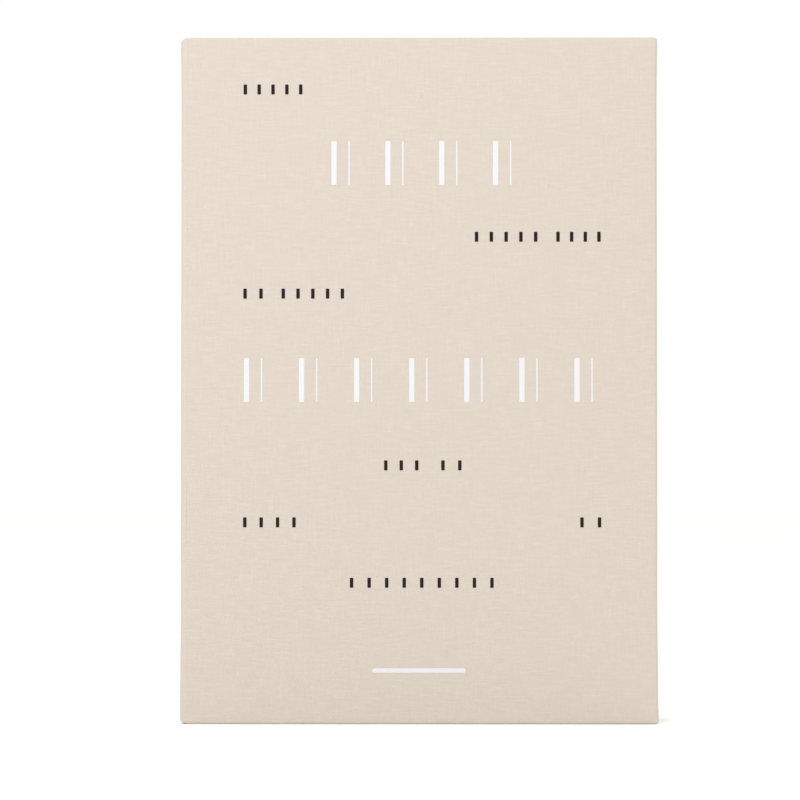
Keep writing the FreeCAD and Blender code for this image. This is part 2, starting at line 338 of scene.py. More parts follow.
def linen_on_joint():
    """The quarter turn of cloth between the spine board and the front board."""
    lead = SKIM / JOINT_RADIUS
    turns = np.linspace(lead, math.pi / 2 - lead, 19)
    outer = np.interp(turns, [0, math.pi / 2], [FOLD_RADIUS, SPINE_RADIUS])
    inset, below, along = edge_samples(DOUBLED, outer)
    middle = steps(FOOT + 2 * SPINE_RADIUS, HEAD - 2 * SPINE_RADIUS, GRID)
    rows = np.broadcast_to(middle[:, None], (len(middle), len(turns)))
    z = np.concatenate([(FOOT + inset)[::-1], rows, HEAD - inset])
    d = np.concatenate([below[::-1], np.zeros_like(rows), below])
    flat_z = np.concatenate([(FOOT + outer - along)[::-1], rows, HEAD - outer + along])
    share = turns / (math.pi / 2)
    groove = 0.06 * MM * np.sin(2 * turns) ** 2
    drawn_in = pinch(z) * share * np.clip(1 - d / BOARD_EDGE, 0, 1)
    radius = JOINT_RADIUS - d - groove - drawn_in
    x = JOINT_X - radius * np.sin(turns)
    y = JOINT_FRONT - radius * np.cos(turns)
    points = np.stack([x, y, z], axis=2).reshape(-1, 3)
    flat_x = np.broadcast_to(JOINT_X - JOINT_RADIUS * turns, x.shape)
    uv = np.stack([flat_x, flat_z], axis=2).reshape(-1, 2)
    piece = make_object("linen_joint", points, grid_faces(len(z), len(turns)), uv)
    blend_joint(piece)
    return piece


# ---- Paper on the inside of the case ----
def paper_band(name, path, low, high, thickness):
    """A sheet of paper from height low to high, whose outer side follows a path of (x, y) points."""
    path = np.asarray(path, float)
    inner = path - normals(path) * thickness
    heights = steps(low, high, 8 * MM)
    loop = np.concatenate([path, inner[::-1]])
    travelled = distances(loop)
    points, uv = [], []
    for z in heights:
        points += [(x, y, z) for x, y in loop]
        uv += [(t, z) for t in travelled]
    count = len(loop)
    faces = grid_faces(len(heights), count, wrap=True)
    last = (len(heights) - 1) * count
    half = len(path)
    for i in range(half - 1):
        a, b, c, d = i, i + 1, count - 2 - i, count - 1 - i
        faces.append((a, b, c, d))
        faces.append((last + d, last + c, last + b, last + a))
    return sharpen(make_object(name, points, faces, uv, merge=0))


def arc_points(centre, radius, start, end, count):
    """Points on an arc in the XY plane; angles in degrees."""
    angles = np.radians(np.linspace(start, end, count))
    return [(centre[0] + radius * math.cos(a), centre[1] + radius * math.sin(a)) for a in angles]


def case_linings():
    """Lining of the cover, turned round its board at the joint, of the joint and of the spine."""
    low, high = lining_low[2], lining_high[2]
    radius = JOINT_RADIUS - DOUBLED - SKIM
    bend_radius = 0.5 * MM
    wall = JOINT_X - 2 * SKIM
    face = cover_high[1] + LINING + SKIM
    cover_path = [(wall - LINING, JOINT_FRONT - radius)]
    cover_path += [(wall - LINING, y) for y in (JOINT_FRONT - 1.5 * MM, face - bend_radius)]
    turn = (wall - LINING + bend_radius, face - bend_radius)
    cover_path += arc_points(turn, bend_radius, 170, 90, 7)
    cover_path += [(x, face) for x in steps(JOINT_X + 1.5 * MM, lining_high[0], 12 * MM)]
    cover = paper_band("cover_lining", cover_path, low, high, LINING)
    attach(cover, "front_cover")
    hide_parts("front_lining")

    joint_path = arc_points((JOINT_X, JOINT_FRONT), radius - LINING / 2, 180, 270, 15)
    joint = paper_band("joint_lining", joint_path, low, high, LINING)
    blend_joint(joint)
    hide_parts("hinge_lining")

    edge = JOINT_FRONT - 2 * SKIM
    inner = spine_high[0]
    spine_path = [(inner + LINING, wrap_low[1] - SKIM), (inner + LINING, edge + bend_radius)]
    turn = (inner + LINING - bend_radius, edge - LINING + bend_radius)
    spine_path += arc_points(turn, bend_radius, 0, -90, 7)
    spine_path += [(x, edge - LINING) for x in (inner - 1 * MM, JOINT_X - radius)]
    spine = paper_band("spine_lining", spine_path, low, high, LINING)
    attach(spine, "case")
    return [cover, joint, spine]


# ---- Tray ----
SEAM = 12 * MM            # how far the tray's paper laps round its corners
LAP = 0.15 * MM           # width of the step at a lap
WRAP = 0.18 * MM          # height of that step


def side_shares(length):
    """Places along a side, as shares of its length: close together where the paper laps."""
    near = np.array([SEAM / 2, SEAM - LAP, SEAM, SEAM + 4 * MM]) / length
    between = np.linspace(near[-1], 1 - near[-1], 16)[1:-1]
    return np.concatenate([near, between, 1 - near[::-1]])


def ring(x0, x1, z0, z1, radius):
    """Points round a rectangle with rounded corners, and for each whether it lies on lapped paper."""
    quarter = np.radians(np.linspace(0, 90, 5))
    arcs = []
    for x, z, turn in (
        (x1 - radius, z0 + radius, -90),
        (x1 - radius, z1 - radius, 0),
        (x0 + radius, z1 - radius, 90),
        (x0 + radius, z0 + radius, 180),
    ):
        angles = quarter + math.radians(turn)
        arcs.append(np.stack([x + radius * np.cos(angles), z + radius * np.sin(angles)], axis=1))
    points, lapped = [], []
    for side, arc in enumerate(arcs):
        start, stop = arc[-1], arcs[(side + 1) % 4][0]
        length = np.linalg.norm(stop - start)
        shares = side_shares(length)
        points += [*arc, *(start + (stop - start) * share for share in shares)]
        from_corner = np.minimum(shares, 1 - shares) * length
        whole_side = side % 2 == 0
        lapped += [1.0] * len(arc)
        lapped += [1.0 if whole_side or far < SEAM - LAP / 2 else 0.0 for far in from_corner]
    return np.array(points), np.array(lapped)


def tray_profile():
    """Rings of the tray's paper: (distance from the outline or the hollow, depth, whether outside)."""
    rim, floor, back = wrap_low[1], floor_low[1], wrap_high[1]
    soft = 0.55 * MM
    arris = np.radians(np.linspace(0, 90, 7))
    rings = [(0.0, y, True) for y in steps(back, rim + 3 * MM, 5 * MM)]
    rings += [(soft * (1 - math.cos(a)), rim + soft * (1 - math.sin(a)), True) for a in arris]
    rings += [(soft * (1 - math.sin(a)), rim + soft * (1 - math.cos(a)), False) for a in arris]
    rings += [(0.0, y, False) for y in steps(rim + 3 * MM, floor, 5 * MM)]
    return rings


def tray_paper():
    """Paper over the tray: up the outsides of the walls, over their rounded rims, down to the floor."""
    x0, x1, z0, z1 = wrap_low[0], wrap_high[0], wrap_low[2], wrap_high[2]
    hollow_x0, hollow_x1 = floor_low[0], floor_high[0]
    hollow_z0, hollow_z1 = floor_low[2], floor_high[2]
    rows, flat = [], []
    travelled, previous = 0.0, None
    for inset, y, outside in tray_profile():
        if outside:
            loop, lapped = ring(x0 + inset, x1 - inset, z0 + inset, z1 - inset, 0.7 * MM - inset)
            sunk = WRAP * (1 - lapped) * (inset == 0)
            loop[:, 1] -= sunk * np.sign(loop[:, 1] - (z0 + z1) / 2)
        else:
            loop, lapped = ring(
                hollow_x0 - inset, hollow_x1 + inset, hollow_z0 - inset, hollow_z1 + inset,
                0.25 * MM + inset,
            )
        at_rim = y < wrap_low[1] + 1 * MM
        ys = y + 0.05 * MM * (1 + ripple(loop[:, 0], loop[:, 1], 60 * MM, seed=11)) * at_rim
        rows.append(np.stack([loop[:, 0], ys, loop[:, 1]], axis=1))
        if previous is not None:
            travelled += max(np.linalg.norm(rows[-1][0] - previous), 0.3 * MM)
        previous = rows[-1][0]
        flat.append(np.stack([distances(loop), np.full(len(loop), travelled)], axis=1))
    faces = grid_faces(len(rows), len(rows[0]), wrap=True, flip=True)
    piece = make_object("tray_paper", np.concatenate(rows), faces, np.concatenate(flat), merge=0)
    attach(sharpen(piece, 50), "case")
    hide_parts("tray_wrap")
    return piece


# ---- Blanket ----
LAYERS = 10               # zigzag panels across the blanket's long side
FOLDS = 5                 # panels up and down, the last of them a flap
HEM = 12 * MM             # width of the turned hem
SEEN, HIDDEN = 4 * MM, 18 * MM        # spacing of points on the outer and the inner layers
BESIDE_FOLD = 0.6 * MM                # a panel's last step, so that it looks flat up to its fold
STACK = (pack_high[1] - pack_low[1]) / FOLDS      # thickness of one panel, which has all layers
PITCH = STACK / LAYERS                # from layer to layer
FLAP_FOOT = pack_high[2] - 88 * MM    # height at which the flap ends


def strip_path():
    """The stack of layers from the side: (y, z) of its middle line and its normal, floor to flap."""
    half = STACK / 2
    low, high = pack_low[2] + STACK, pack_high[2] - STACK
    path = []
    for k in range(FOLDS):
        y = pack_high[1] - half - k * STACK
        direction = -1 if k % 2 == 0 else 1
        start, end = (high, low) if direction < 0 else (low, high)
        if k == 0:
            start = pack_high[2] - 1 * MM
        heights = steps(start, end, SEEN if k == FOLDS - 2 else HIDDEN)
        if k == FOLDS - 1:
            seam = FLAP_FOOT + np.array([1.4, 1.1, 0.9, 0.5, 0.0]) * HEM
            heights = np.concatenate([steps(start, seam[0] + SEEN, SEEN), seam])
        path += [(y, z, -direction, 0.0) for z in heights]
        if k < FOLDS - 1:
            for a in np.linspace(0, math.pi, 12)[1:-1]:
                dy, dz = math.cos(a), math.sin(a) * direction
                path.append((y - half + half * dy, end + half * dz, -dy * direction, -dz * direction))
    return np.array(path)


def layer_path():
    """Across the pack: (x, place in the stack) along the zigzag of layers, a little uneven in length."""
    random = np.random.default_rng(21)
    points = []
    for i in range(LAYERS):
        level = (i + 0.5 - LAYERS / 2) * PITCH
        left, right = pack_low[0], pack_high[0]
        left, right = left + random.uniform(0.3, 1.6) * MM, right - random.uniform(0.3, 1.6) * MM
        start, end, way = (left, right, 1) if i % 2 == 0 else (right, left, -1)
        spacing = SEEN if i in (0, LAYERS - 1) else HIDDEN
        between = steps(start + way * BESIDE_FOLD, end - way * BESIDE_FOLD, spacing)
        points += [(x, level) for x in (start, *between, end)]
        if i < LAYERS - 1:
            for a in np.radians((-60, -30, 0, 30, 60)):
                out, up = math.cos(a), 1 + math.sin(a)
                points.append((end + way * PITCH / 2 * out, level + PITCH / 2 * up))
    return np.array(points)


def sink(x, z):
    """How far the front of the folded pack lies behind its CAD plane at a place."""
    waves = 0.6 * ripple(x, z, 62 * MM, seed=4) + 0.35 * ripple(x, z * 0.5, 23 * MM, seed=8)
    creases = np.exp(-(ripple(x * 0.4, z, 80 * MM, seed=13) / 0.14) ** 2)
    creases = creases + 0.7 * np.exp(-(ripple(x, z * 0.3, 95 * MM, seed=17) / 0.12) ** 2)
    return 0.75 * MM * np.clip(1 + waves, 0, 2) + 0.38 * MM * creases


def crumple(x, y, z):
    """Pushes the folded pack about a little, all layers together; its foot stays at its height."""
    height = np.clip((z - pack_low[2]) / (40 * MM), 0, 1)
    front = np.clip((pack_high[1] - y) / (pack_high[1] - pack_low[1]), 0, 1)
    side = np.abs(x - (pack_low[0] + pack_high[0]) / 2) / ((pack_high[0] - pack_low[0]) / 2)
    fallen = np.clip(side - 0.93, 0, 1) / 0.07            # 0, then up to 1 at the sides
    y = y + (sink(x, z) + 0.8 * MM * fallen) * front
    x = x + 0.7 * MM * ripple(z, y * 2, 60 * MM, seed=3)
    z = z + 0.5 * MM * ripple(x, y * 2, 55 * MM, seed=6) * height
    return x, y, z


def hem_ridge(y, v, total):
    """The turned hem of the flap's end stands a little proud of it."""
    into = np.clip((v - (total - HEM)) / (0.15 * HEM), 0, 1)
    return y - 0.22 * MM * into


def folded_blanket():
    """The whole 1.2 m by 1.8 m cloth, folded ten times across and then five times up and down."""
    strip, layers = strip_path(), layer_path()
    y = strip[:, 0][:, None] + strip[:, 2][:, None] * layers[:, 1][None, :]
    z = strip[:, 1][:, None] + strip[:, 3][:, None] * layers[:, 1][None, :]
    x = np.broadcast_to(layers[:, 0][None, :], y.shape)
    u, v = distances(layers), distances(strip[:, :2])
    uu, vv = np.meshgrid(u, v, indexing="xy")
    y = hem_ridge(y, vv, v[-1])
    points = np.stack(crumple(x, y, z), axis=2).reshape(-1, 3)
    uv = np.stack([uu, vv], axis=2).reshape(-1, 2)
    piece = make_object("folded_glass_cloth", points, grid_faces(len(strip), len(layers)), uv, merge=0)
    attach(piece, "case")
    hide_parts("fire_blanket")
    return piece


def blanket_hems():
    """Stitching of the hems that show: along the flap's end and down the side of the outer layers."""
    towards = (0, -1, 0)
    flap = pack_low[1] + PITCH / 2
    hem = flap - 0.25 * MM                # the turned hem stands proud of the flap
    left, right = pack_low[0] + 1.5 * MM, pack_high[0] - 2.5 * MM
    seam = FLAP_FOOT + 0.8 * HEM
    side = left + 0.8 * HEM
    rows = [
        ((left, hem, seam), (right, hem, seam)),
        ((side, flap, seam + 4 * MM), (side, flap, pack_high[2] - 6 * MM)),
        ((side, flap + STACK, pack_low[2] + 8 * MM), (side, flap + STACK, FLAP_FOOT - 3 * MM)),
    ]
    made = []
    for start, end in rows:
        made += stitch_line(start, end, 3.4 * MM, towards, thickness=0.5 * MM, settle_on=crumple)
    return stitches_object("hem_stitching", made)


# ---- Pull tapes ----
def rounded_section(width, thickness, radius, steps_each=4):
    """A flat band's outline across its length: (across, through) points."""
    points = []
    for cx, cz, turn in ((1, 1, 0), (-1, 1, 90), (-1, -1, 180), (1, -1, 270)):
        for a in np.radians(np.linspace(turn, turn + 90, steps_each)):
            across = cx * (width / 2 - radius) + radius * math.cos(a)
            points.append((across, cz * (thickness / 2 - radius) + radius * math.sin(a)))
    return np.array(points)


TAPE = 1.15 * MM          # thickness of the webbing


def tape_line(node):
    """(y, z) points down the flap, off its hem, down the pack, round the loop's end and back up."""
    low, high = corners(node)
    flap_front, pack_front = pack_low[1], pack_low[1] + STACK
    drop, foot = FLAP_FOOT - 22 * MM, low[2]

    def run(offset, top):
        """One layer's middle, this far in front of the cloth, from the top down to the loop's end."""
        on_flap = steps(top, FLAP_FOOT, 3 * MM)
        off_hem = steps(FLAP_FOOT - 1 * MM, drop, 1 * MM)
        on_pack = steps(drop - 3 * MM, foot + 1.4 * TAPE, 3 * MM)
        heights = np.concatenate([on_flap, off_hem, on_pack])
        fallen = np.clip((FLAP_FOOT - heights) / (FLAP_FOOT - drop), 0, 1)
        fallen = fallen * fallen * (3 - 2 * fallen)
        rest = np.min([sink(place, heights) for place in np.linspace(low[0], high[0], 5)], axis=0)
        y = flap_front + (pack_front - flap_front) * fallen + rest - offset
        return np.stack([y, heights], axis=1)

    back_layer = run(TAPE / 2, high[2] - 0.4 * MM)
    front_layer = run(TAPE * 1.5 + 0.1 * MM, high[2])
    belly = np.clip((drop - front_layer[:, 1]) / (drop - foot), 0, 1)
    front_layer[:, 0] -= 1.1 * MM * np.sin(belly * math.pi * 0.93) ** 2
    start, end = back_layer[-1], front_layer[-1]
    middle, radius = (start + end) / 2, abs(start[0] - end[0]) / 2
    loop = [
        (middle[0] + radius * math.cos(a), middle[1] - radius * math.sin(a))
        for a in np.linspace(0, math.pi, 14)[1:-1]
    ]
    return np.concatenate([back_layer, loop, front_layer[::-1]])


def band(name, line, x, width, thickness):
    """A flat band along a line of (y, z) points, with rounded selvedges and closed ends."""
    section = rounded_section(width, thickness, thickness * 0.42)
    travelled = distances(line)
    points, uv = [], []
    for (y, z), (ty, tz), t in zip(line, normals(line), travelled):
        for a, b in section:
            points.append((x + a, y + ty * b, z + tz * b))
            uv.append((a + (width if b < 0 else 0), t))
    faces = tube_faces(len(line), len(section))
    return sharpen(make_object(name, points, faces, uv, merge=0), 60), travelled[-1]


def stitch(start, end, out, thickness):
    """One stitch of thread between two points, arched out of the cloth: points and faces."""
    along = (end - start) / np.linalg.norm(end - start)
    side = np.cross(along, out)
    points = []
    around, length = 6, 6
    for t in np.linspace(0, 1, length):
        arch = math.sin(math.pi * t)
        centre = start + (end - start) * t + out * thickness * (arch * 0.9 - 0.25)
        radius = thickness / 2 * (0.55 + 0.45 * arch)
        for a in np.linspace(0, math.tau, around, endpoint=False):
            points.append(centre + radius * (side * math.cos(a) + out * math.sin(a)))
    return points, tube_faces(length, around)


def stitch_line(start, end, pitch, out, thickness=0.45 * MM, settle_on=None):
    """Stitches with small gaps along a straight line, moved as settle_on moves the cloth."""
    start, end, out = (np.asarray(v, float) for v in (start, end, out))
    count = max(1, int(round(np.linalg.norm(end - start) / pitch)))
    made = []
    for i in range(count):
        ends = [start + (end - start) * (i + part) / count for part in (0.1, 0.9)]
        if settle_on:
            ends = [np.array(settle_on(*point)) for point in ends]
        made.append(stitch(*ends, out, thickness))
    return made


def stitches_object(name, made):
    """All the stitches as one piece that rides with the case."""
    points, faces = [], []
    for p, f in made:
        faces += [tuple(i + len(points) for i in face) for face in f]
        points += p
    piece = sharpen(make_object(name, points, faces, merge=0), 60)
    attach(piece, "case")
    return piece


def box_stitching(side, low, high, line):
    """A box with a cross in it, through the tape and the flap, on the tape's outer layer."""
    outer = line[len(line) // 2:]

    def on_tape(x, _, z):
        return x, np.interp(z, outer[:, 1], outer[:, 0]) - TAPE / 2, z

    margin = 3 * MM
    left, right = low[0] + margin, high[0] - margin
    foot, top = FLAP_FOOT + margin, high[2] - margin
    box = [(left, 0, foot), (right, 0, foot), (right, 0, top), (left, 0, top)]
    made = []
    for a, b in ((0, 1), (1, 2), (2, 3), (3, 0), (0, 2), (1, 3)):
        made += stitch_line(box[a], box[b], 2.6 * MM, (0, -1, 0), settle_on=on_tape)
    return stitches_object(f"tape_stitching_{side}", made)


def pull_tape(side):
    """One webbing loop and the thread that holds it to the flap."""
    node = f"pull_tape_{side}"
    low, high = corners(node)
    line = tape_line(node)
    width = high[0] - low[0]
    tape, length = band(f"webbing_{side}", line, (low[0] + high[0]) / 2, width, TAPE)
    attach(tape, "case")
    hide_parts(node)
    seam = box_stitching(side, low, high, line)
    return tape, seam


# ---- Materials ----
class Paint:
    """One material's node tree, built with short calls."""

    def __init__(self, name, roughness=0.8, specular=0.5, sheen=0.0, metallic=0.0):
        self.material = bpy.data.materials.new(name)
        self.material.use_nodes = True
        self.tree = self.material.node_tree
        self.shader = self.tree.nodes["Principled BSDF"]
        self.shader.inputs["Roughness"].default_value = roughness
        self.shader.inputs["Specular IOR Level"].default_value = specular
        self.shader.inputs["Sheen Weight"].default_value = sheen
        self.shader.inputs["Metallic"].default_value = metallic

    def put(self, socket, value):
        """Links a socket to another, or sets its value."""
        if isinstance(value, bpy.types.NodeSocket):
            self.tree.links.new(value, socket)
        else:
            socket.default_value = value

    def node(self, kind, inputs=None, **settings):
        """A new node with these inputs and settings."""
        made = self.tree.nodes.new("ShaderNode" + kind)
        for key, value in settings.items():
            setattr(made, key, value)
        for key, value in (inputs or {}).items():
            self.put(made.inputs[key], value)
        return made

    def math(self, operation, a, b=0.0, c=0.0):
        return self.node("Math", {0: a, 1: b, 2: c}, operation=operation).outputs[0]

    def flat(self):
        """(along the width, along the height) of the flat material, in metres."""
        uv = self.node("UVMap", uv_map=CLOTH_UV).outputs[0]
        split = self.node("SeparateXYZ", {0: uv})
        return split.outputs[0], split.outputs[1]

    def place(self):
        """The point's own place in the frame, in metres."""
        return self.node("TexCoord").outputs["Object"]

    def front_plane(self):
        """(across, up) on the front cover, in metres."""
        split = self.node("SeparateXYZ", {0: self.place()})
        return split.outputs[0], split.outputs[2]

    def vector(self, x, y, z=0.0):
        return self.node("CombineXYZ", {0: x, 1: y, 2: z}).outputs[0]

    def noise(self, vector, scale, detail=2.0, roughness=0.5):
        inputs = {"Vector": vector, "Scale": scale, "Detail": detail, "Roughness": roughness}
        return self.node("TexNoise", inputs).outputs["Fac"]

    def streaks(self, u, v, length, width, seed):
        """Noise drawn out along u: about this long and this wide."""
        along = self.math("MULTIPLY", u, 1 / length)
        across = self.math("MULTIPLY", v, 1 / width)
        return self.noise(self.vector(along, across, seed), 1.0, 2.0)

    def ramp(self, value, low, high, to_low=0.0, to_high=1.0):
        """to_low up to low, to_high from high on, and evenly between."""
        inputs = {"Value": value, "From Min": low, "From Max": high}
        inputs |= {"To Min": to_low, "To Max": to_high}
        return self.node("MapRange", inputs, clamp=True).outputs[0]

    def mix(self, share, a, b, blend_type="MIX"):
        """From colour a to colour b by a share; sockets 6 and 7 are the node's colour inputs."""
        made = self.node("Mix", data_type="RGBA", blend_type=blend_type)
        self.put(made.inputs[0], share)
        self.put(made.inputs[6], a)
        self.put(made.inputs[7], b)
        return made.outputs[2]

    def tint(self, colour, by):
        """One colour times another."""
        return self.mix(1.0, colour, by, "MULTIPLY")

    def colour(self, value):
        self.put(self.shader.inputs["Base Color"], value)

    def bump(self, height, distance, strength=1.0):
        made = self.node("Bump", {"Height": height, "Distance": distance, "Strength": strength})
        self.put(self.shader.inputs["Normal"], made.outputs[0])


def rgba(r, g, b):
    """A colour given as linear values."""
    return (r, g, b, 1.0)


def scaled(colour, by):
    return tuple(c * by for c in colour[:3]) + (1.0,)


def weave(paint, u, v, pitch):
    """Height of a plain weave, 0 in the gaps to 1 on the crossings."""
    a = paint.math("MULTIPLY", u, math.pi / pitch)
    b = paint.math("MULTIPLY", v, math.pi / pitch)
    sin_a, sin_b = paint.math("SINE", a), paint.math("SINE", b)
    ridges = paint.math("ADD", paint.math("ABSOLUTE", sin_a), paint.math("ABSOLUTE", sin_b))
    crossings = paint.math("MULTIPLY", sin_a, sin_b)
    return paint.math("MULTIPLY_ADD", crossings, 0.22, paint.math("MULTIPLY", ridges, 0.39))


def wander(paint, u, v, amount, size):
    """u and v pushed about a little, so that threads aren't ruled lines."""
    at = paint.vector(u, v)
    push = paint.math("MULTIPLY_ADD", paint.noise(at, 1 / size, 1.0), amount, -amount / 2)
    return paint.math("ADD", u, push), paint.math("ADD", v, push)


# ---- The object's own materials ----
LINEN = rgba(0.524, 0.462, 0.384)
OFF_WHITE = rgba(0.51, 0.485, 0.44)       # lining and tray paper
FOIL = rgba(0.610, 0.604, 0.592)
INK = rgba(0.020, 0.010, 0.013)
LINEN_THREAD = 0.52 * MM                  # from thread to thread
GLASS_YARN = 0.95 * MM
CHEVRON, RIB, WEBBING_YARN = 3.1 * MM, 1.5 * MM, 0.8 * MM


def linen_height(paint, u, v):
    """(thread height, weft slubs, warp slubs) of the book cloth."""
    u, v = wander(paint, u, v, 1.1 * MM, 14 * MM)
    threads = weave(paint, u, v, LINEN_THREAD)
    weft = paint.streaks(u, v, 8 * MM, 0.78 * MM, 1.0)
    warp = paint.streaks(v, u, 9 * MM, 0.82 * MM, 7.0)
    return threads, weft, warp


def linen_paint():
    """Natural book linen: a plain weave with slubs along weft and warp, neps, and faint mottling."""
    paint = Paint("linen", 0.92, specular=0.25, sheen=0.08)
    u, v = paint.flat()
    threads, weft, warp = linen_height(paint, u, v)
    thick_weft, thick_warp = (paint.ramp(slubs, 0.50, 0.72) for slubs in (weft, warp))
    thin_weft, thin_warp = (paint.ramp(slubs, 0.30, 0.48, 1.0, 0.0) for slubs in (weft, warp))
    at = paint.vector(u, v)
    mottle = paint.ramp(paint.noise(at, 90.0, 3.0, 0.6), 0.35, 0.70)
    neps = paint.ramp(paint.noise(at, 750.0, 1.0), 0.70, 0.78)
    # Darker in the weave's gaps and lighter on its crossings: painted shade and painted highlight, set
    # by thread height.
    base = paint.mix(paint.ramp(threads, 0.25, 0.85), scaled(LINEN, 0.93), scaled(LINEN, 1.03))
    for where, strength, brightness in (
        (thick_weft, 0.42, 1.10),
        (thick_warp, 0.36, 1.08),
        (thin_weft, 0.36, 0.90),
        (thin_warp, 0.30, 0.92),
        (mottle, 0.30, 0.95),
        (neps, 0.60, 1.14),
    ):
        base = paint.mix(paint.math("MULTIPLY", where, strength), base, scaled(LINEN, brightness))
    hue = paint.ramp(paint.noise(at, 240.0, 2.0, 0.6), 0.35, 0.65)
    paint.colour(paint.tint(base, paint.mix(hue, rgba(0.996, 1.0, 1.008), rgba(1.004, 1.0, 0.992))))
    height = paint.math("MULTIPLY_ADD", thick_weft, 0.6, threads)
    height = paint.math("MULTIPLY_ADD", thick_warp, 0.5, height)
    height = paint.math("MULTIPLY_ADD", neps, 0.8, height)
    paint.bump(height, 0.09 * MM, 0.6)
    return paint.material


def mark_paint(name, colour, beneath, thinned, gap, roughness, specular):
    """Foil or ink on the front cover, through which the weave shows; a little worn in its gaps."""
    paint = Paint(name, roughness, specular=specular)
    threads, weft, _ = linen_height(paint, *paint.front_plane())
    worn = paint.ramp(threads, 0.05, gap, 1.0, 0.0)
    paint.colour(paint.mix(paint.math("MULTIPLY", worn, thinned), colour, beneath))
    paint.bump(paint.math("ADD", threads, weft), 0.06 * MM, 0.5)
    return paint.material


def paper_paint(name, colour, roughness=0.85, fleck=0.03):
    """Uncoated paper: felt texture, short fibres and a little unevenness."""
    paint = Paint(name, roughness, specular=0.3)
    at = paint.place()
    felt = paint.noise(at, 1700.0, 3.0, 0.65)
    cloudy = paint.noise(at, 45.0, 3.0, 0.55)
    fibres = paint.noise(at, 650.0, 4.0, 0.7)
    base = paint.mix(paint.ramp(cloudy, 0.3, 0.7), scaled(colour, 0.99), scaled(colour, 1.008))
    base = paint.mix(paint.ramp(felt, 0.35, 0.65, 0.0, 0.5), base, scaled(colour, 0.93))
    base = paint.mix(paint.ramp(fibres, 0.60, 0.72, 0.0, fleck * 10), base, scaled(colour, 0.82))
    base = paint.mix(paint.ramp(fibres, 0.40, 0.28, 0.0, 0.5), base, scaled(colour, 1.08))
    paint.colour(base)
    paint.bump(paint.math("MULTIPLY_ADD", fibres, 0.6, felt), 0.05 * MM, 0.8)
    return paint.material


def board_paint():
    """Greyboard: recycled fibre with dark and light flecks."""
    paint = Paint("greyboard", 0.95, specular=0.2)
    at = paint.place()
    grey = rgba(0.30, 0.28, 0.25)
    speck = paint.noise(at, 1500.0, 4.0, 0.75)
    cloudy = paint.noise(at, 120.0, 3.0, 0.6)
    base = paint.mix(paint.ramp(cloudy, 0.3, 0.7), scaled(grey, 0.88), scaled(grey, 1.1))
    base = paint.mix(paint.ramp(speck, 0.58, 0.66, 0.0, 0.6), base, scaled(grey, 0.5))
    base = paint.mix(paint.ramp(speck, 0.42, 0.34, 0.0, 0.5), base, scaled(grey, 1.7))
    paint.colour(base)
    paint.bump(speck, 0.06 * MM, 0.7)
    return paint.material


def magnet_paint():
    """Nickel plate with fine tumbling marks."""
    paint = Paint("nickel", 0.3, metallic=1.0)
    at = paint.place()
    marks = paint.noise(at, 3000.0, 3.0, 0.6)
    paint.colour(paint.mix(marks, rgba(0.58, 0.57, 0.55), rgba(0.70, 0.69, 0.67)))
    paint.put(paint.shader.inputs["Roughness"], paint.ramp(marks, 0.3, 0.7, 0.22, 0.42))
    paint.bump(marks, 0.01 * MM, 0.5)
    return paint.material


def glass_cloth_paint():
    """Woven glass fibre: flat shiny yarns, a little creased."""
    paint = Paint("glass_cloth", 0.5, sheen=0.05)
    u, v = paint.flat()
    u, v = wander(paint, u, v, 1.5 * MM, 30 * MM)
    threads = weave(paint, u, v, GLASS_YARN)
    creases = paint.noise(paint.vector(u, v), 55.0, 4.0, 0.6)
    fibres = paint.streaks(u, v, 6 * MM, 0.4 * MM, 3.0)
    white = rgba(0.54, 0.53, 0.50)
    # Darker in the weave's gaps and lighter on its crossings: painted shade and painted highlight, set
    # by yarn height.
    base = paint.mix(paint.ramp(threads, 0.2, 0.9), scaled(white, 0.80), scaled(white, 1.03))
    base = paint.mix(paint.ramp(fibres, 0.5, 0.75, 0.0, 0.3), base, scaled(white, 0.90))
    # Darker along the creases: painted shade.
    base = paint.mix(paint.ramp(creases, 0.35, 0.7, 0.0, 0.45), base, scaled(white, 0.91))
    paint.colour(base)
    paint.bump(paint.math("MULTIPLY_ADD", creases, 1.6, threads), 0.22 * MM, 0.75)
    return paint.material


def webbing_paint():
    """Black polyester webbing: chevron ribs across and a plain selvedge."""
    paint = Paint("webbing", 0.8, specular=0.2, sheen=0.04)
    u, v = paint.flat()
    leaning = paint.math("ADD", v, paint.math("PINGPONG", u, CHEVRON))
    ribs = paint.math("SINE", paint.math("MULTIPLY", leaning, math.tau / RIB))
    yarns = paint.math("SINE", paint.math("MULTIPLY", u, math.tau / WEBBING_YARN))
    fuzz = paint.noise(paint.vector(u, v), 2500.0, 3.0, 0.7)
    black = rgba(0.017, 0.017, 0.019)
    # Lighter on the tops of the ribs and yarns and darker between them: painted highlight and painted
    # shade, set by their height.
    top = paint.ramp(paint.math("MULTIPLY_ADD", yarns, 0.4, ribs), -0.6, 1.2)
    base = paint.mix(top, scaled(black, 0.45), scaled(black, 2.2))
    base = paint.mix(paint.ramp(fuzz, 0.5, 0.8, 0.0, 0.4), base, scaled(black, 4.0))
    paint.colour(base)
    paint.bump(paint.math("MULTIPLY_ADD", yarns, 0.35, ribs), 0.16 * MM, 0.9)
    return paint.material


def thread_paint(name, colour):
    """Twisted sewing thread."""
    paint = Paint(name, 0.6, sheen=0.2)
    at = paint.place()
    twist = paint.noise(at, 4000.0, 2.0, 0.5)
    paint.colour(paint.mix(twist, scaled(colour, 0.7), scaled(colour, 1.3)))
    paint.bump(twist, 0.05 * MM, 0.8)
    return paint.material


def dress(piece, material):
    """Gives a piece one material."""
    piece.data.materials.clear()
    piece.data.materials.append(material)
    return piece


def dress_node(name, material):
    """Gives a CAD node a material in place of its plain one."""
    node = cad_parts[name]
    for held in node.material_slots:
        held.link = "OBJECT"
        held.material = material


